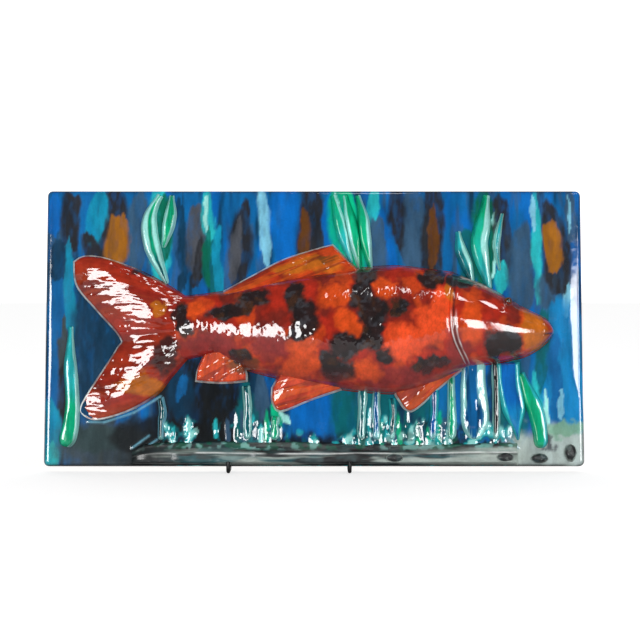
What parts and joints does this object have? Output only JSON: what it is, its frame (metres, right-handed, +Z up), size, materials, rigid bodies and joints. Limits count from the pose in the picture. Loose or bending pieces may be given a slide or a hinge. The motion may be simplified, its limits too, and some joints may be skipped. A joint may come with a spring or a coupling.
{
  "type": "fish plaque on a wire easel",
  "caption": "Wide glazed ceramic plaque with a koi in high relief among water weed, standing on a small folding black wire easel that it lifts off.",
  "frame": {"origin": "on the table, under the middle of the whole object's box", "axes": "+X to the right along the plaque as seen from the front, +Y to the back, +Z up; the plaque faces -Y and leans back"},
  "size_m": [0.305, 0.087, 0.1591],
  "materials": {
    "water_glaze": "glossy, streaked cobalt, turquoise and umber, bare clay back",
    "fish_glaze": "glossy, red and orange with black patches",
    "fin_glaze": "glossy, red with amber and pale edges",
    "eye_glaze": "glossy, dark",
    "weed_glaze": "glossy, green and turquoise with pale edges",
    "bed_glaze": "glossy, mottled grey and black",
    "stone_glaze": "glossy, grey and beige",
    "black_wire": "satin black"
  },
  "bodies": {
    "easel": {"easel_frame": "black_wire", "brace_rod": "black_wire", "stop_rod": "black_wire", "hinge_ear_left": "black_wire", "hinge_ear_right": "black_wire", "hinge_pin": "black_wire"},
    "rear_leg": {"rear_leg": "black_wire"},
    "plaque": {"backing_tile": "water_glaze", "fish_body": "fish_glaze", "fish_head": "fish_glaze", "fish_eye": "eye_glaze", "tail_fin": "fin_glaze", "dorsal_fin": "fin_glaze", "pectoral_fin": "fin_glaze", "pelvic_fin": "fin_glaze", "anal_fin": "fin_glaze", "frond_left_front": "weed_glaze", "frond_left_back": "weed_glaze", "frond_centre_1": "weed_glaze", "frond_centre_2": "weed_glaze", "frond_centre_3": "weed_glaze", "frond_right_tall": "weed_glaze", "frond_right_leaf": "weed_glaze", "frond_right_thin": "weed_glaze", "leaf_low_right": "weed_glaze", "leaf_blue": "weed_glaze", "leaf_low_left": "weed_glaze", "reed_1": "weed_glaze", "reed_2": "weed_glaze", "reed_3": "weed_glaze", "reed_4": "weed_glaze", "reed_5": "weed_glaze", "reed_6": "weed_glaze", "reed_7": "weed_glaze", "reed_8": "weed_glaze", "reed_9": "weed_glaze", "reed_10": "weed_glaze", "river_bed": "bed_glaze", "stone_1": "stone_glaze", "stone_2": "stone_glaze", "stone_3": "stone_glaze", "stone_4": "stone_glaze"}
  },
  "joints": [
    {"name": "leg_fold", "type": "hinge", "parent": "easel", "child": "rear_leg", "pos_m": [-0.014, -0.00392, 0.08267], "axis": [1, 0, 0], "range_deg": [-35, 0]},
    {"name": "plaque_lift", "type": "slide", "parent": "easel", "child": "plaque", "axis": [0, 0.1219, 0.9925], "range_m": [0, 0.135]}
  ]
}
